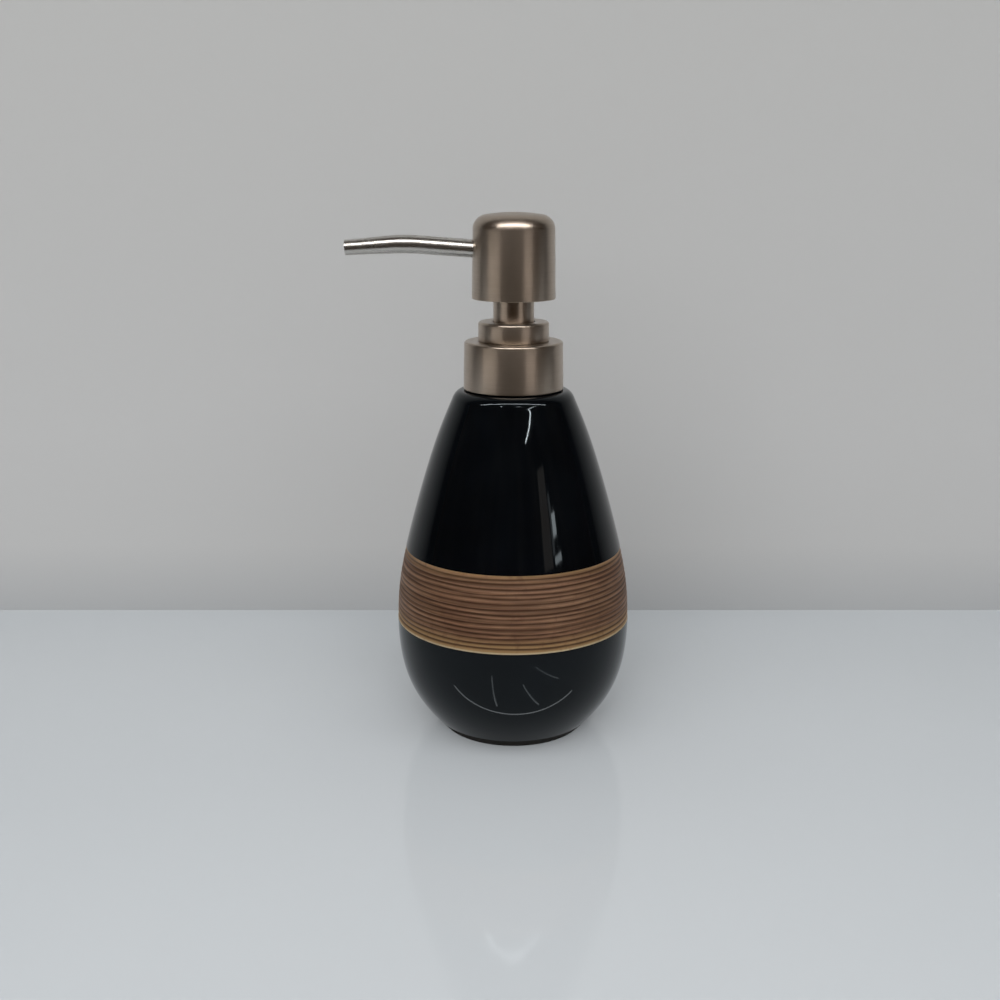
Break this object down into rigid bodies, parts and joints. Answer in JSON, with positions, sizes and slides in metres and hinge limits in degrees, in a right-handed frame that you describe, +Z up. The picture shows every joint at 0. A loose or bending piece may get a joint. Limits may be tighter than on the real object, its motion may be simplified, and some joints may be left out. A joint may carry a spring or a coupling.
{
  "type": "soap pump dispenser",
  "caption": "Round-bellied glazed ceramic bottle with a combed metallic band, a screw-on metal collar and a press-down lotion pump with a side spout.",
  "frame": {"origin": "centre of the flat foot that the bottle stands on", "axes": "+Z up along the pump axis, -X along the spout, +Y away from the front view"},
  "size_m": [0.095, 0.08, 0.176],
  "materials": {
    "glaze": "high gloss black glaze, with a combed band in bronze lustre",
    "satin_nickel": "fine brushed satin, warm grey",
    "spout_steel": "bright satin",
    "spring_steel": "drawn wire",
    "ball_steel": "polished",
    "black_plastic": "moulded, fine texture",
    "white_plastic": "moulded",
    "natural_plastic": "translucent natural",
    "foam": "foamed gasket sheet",
    "silicone": "matt elastomer"
  },
  "bodies": {
    "bottle": {"ceramic_bottle": "glaze", "neck_insert": "black_plastic", "insert_cement": "silicone"},
    "gasket": {"closure_gasket": "foam"},
    "pump": {"pump_cylinder": "natural_plastic", "chaplet": "black_plastic", "chaplet_shell": "satin_nickel", "stem_seal": "silicone", "dip_tube": "natural_plastic", "ball_cage": "white_plastic", "return_spring": "spring_steel"},
    "closure": {"closure_nut": "black_plastic", "closure_shell": "satin_nickel"},
    "piston": {"piston_seal": "white_plastic"},
    "head": {"piston_rod": "white_plastic", "stem_sleeve": "satin_nickel", "actuator_core": "black_plastic", "actuator_shell": "satin_nickel", "spout_tube": "spout_steel"},
    "inlet_valve": {"inlet_ball": "ball_steel"},
    "outlet_valve": {"outlet_ball": "ball_steel"}
  },
  "joints": [
    {"name": "pump_lift", "type": "slide", "parent": "bottle", "child": "gasket", "axis": [0, 0, 1], "range_m": [0, 0.145]},
    {"name": "thread_rise", "type": "slide", "parent": "gasket", "child": "pump", "axis": [0, 0, 1], "range_m": [0, 0.00423]},
    {"name": "closure_turn", "type": "hinge", "parent": "pump", "child": "closure", "pos_m": [0, 0, 0.1266], "axis": [0, 0, 1], "range_deg": [0, 360]},
    {"name": "pump_stroke", "type": "slide", "parent": "pump", "child": "piston", "axis": [0, 0, -1], "range_m": [0, 0.012], "stiffness_N_per_m": 800, "springref_m": -0.01, "deforming": ["return_spring"]},
    {"name": "head_swivel", "type": "hinge", "parent": "piston", "child": "head", "pos_m": [0, 0, 0.15], "axis": [0, 0, 1], "continuous": true},
    {"name": "inlet_ball_lift", "type": "slide", "parent": "pump", "child": "inlet_valve", "axis": [0, 0, 1], "range_m": [0, 0.0012]},
    {"name": "outlet_ball_lift", "type": "slide", "parent": "head", "child": "outlet_valve", "axis": [0, 0, 1], "range_m": [0, 0.001]}
  ],
  "couplings": [
    {"joint": "closure_turn", "follows": "thread_rise", "rad_per_m": 1484.2}
  ]
}
